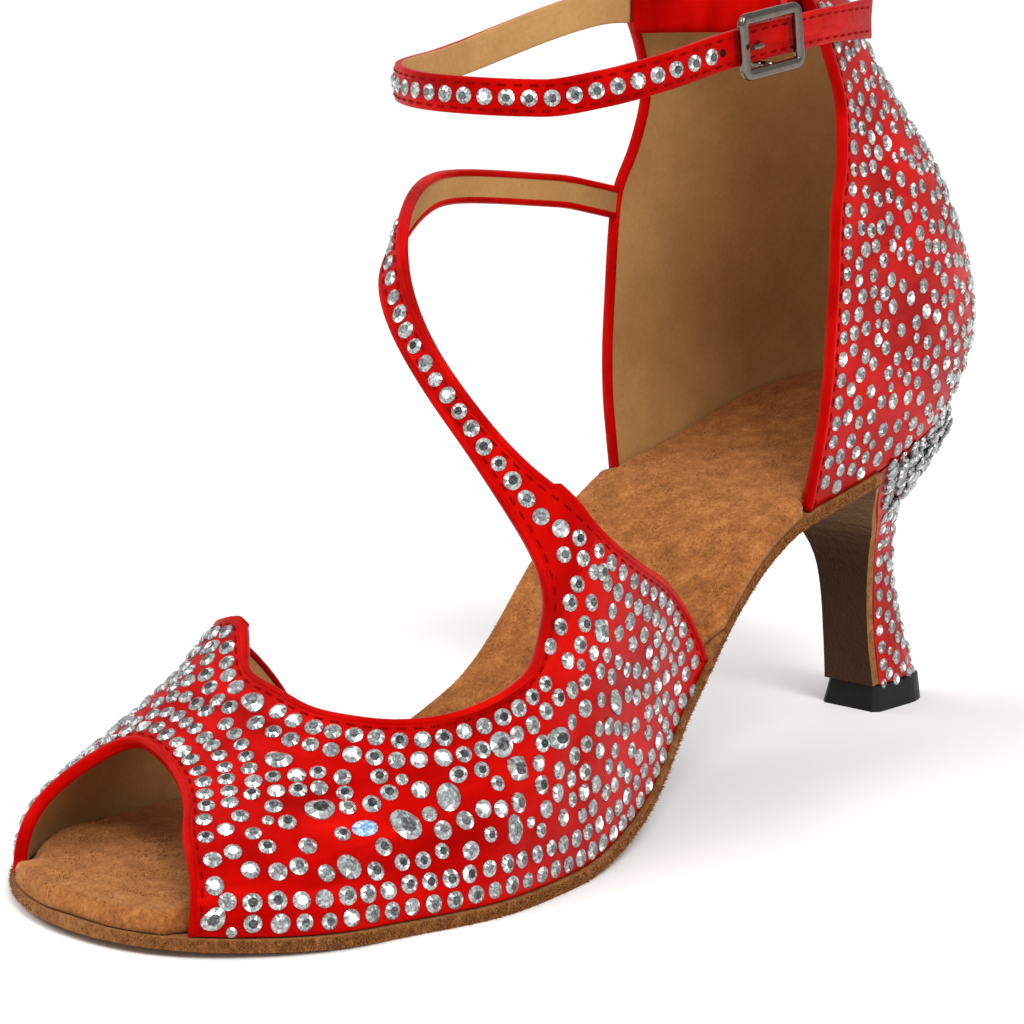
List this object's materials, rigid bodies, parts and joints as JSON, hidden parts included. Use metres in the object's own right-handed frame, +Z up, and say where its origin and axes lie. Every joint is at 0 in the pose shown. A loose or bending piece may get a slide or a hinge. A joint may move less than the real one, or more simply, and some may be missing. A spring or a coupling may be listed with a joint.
{
  "type": "ballroom dance sandal",
  "caption": "Left open-toe ballroom dance sandal with a draped vamp, instep strap, closed heel counter, buckled ankle strap and a flared heel.",
  "frame": {"origin": "middle of the bounding box at the floor", "axes": "+Z up, toe toward -Y, heel toward +Y, outer side of the left shoe toward +X"},
  "size_m": [0.0784, 0.2278, 0.1451],
  "materials": {
    "satin": "glossy satin over a lining",
    "suede": "brushed suede",
    "insole_suede": "brushed suede",
    "heel_satin": "satin cover on a hard core",
    "tip": "moulded",
    "strap_satin": "glossy satin over a lining",
    "buckle_strap_satin": "glossy satin over a lining",
    "buckle_metal": "dark nickel plate",
    "prong_metal": "dark nickel plate"
  },
  "bodies": {
    "root": {"upper": "satin", "outsole": "suede", "insole": "insole_suede", "heel": "heel_satin", "heel_tip": "tip", "ankle_strap": "strap_satin", "buckle_strap": "buckle_strap_satin", "buckle_frame": "buckle_metal", "buckle_prong": "prong_metal"}
  },
  "joints": []
}
